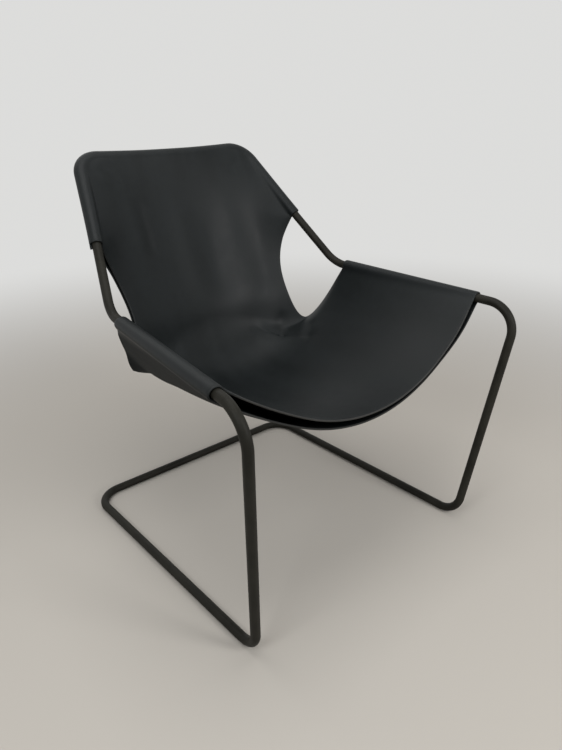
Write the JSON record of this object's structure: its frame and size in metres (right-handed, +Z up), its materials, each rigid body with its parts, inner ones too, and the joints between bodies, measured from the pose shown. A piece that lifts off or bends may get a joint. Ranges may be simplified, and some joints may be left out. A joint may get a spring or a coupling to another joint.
{
  "type": "sling armchair",
  "caption": "Lounge armchair of one continuous bent round steel bar carrying a slung leather seat and back sewn round the bar, with cut-away waist.",
  "frame": {"origin": "on the floor, under the middle of the box round the whole chair", "axes": "+Z up, the sitter faces -Y, +X is the sitter's left hand side"},
  "size_m": [0.7334, 0.7592, 0.8298],
  "materials": {
    "steel": "satin dark phosphated steel",
    "leather": "semi-matt black saddle leather"
  },
  "bodies": {
    "root": {"frame_bar": "steel", "sling_front_sheet": "leather", "sling_rear_sheet": "leather"}
  },
  "joints": []
}
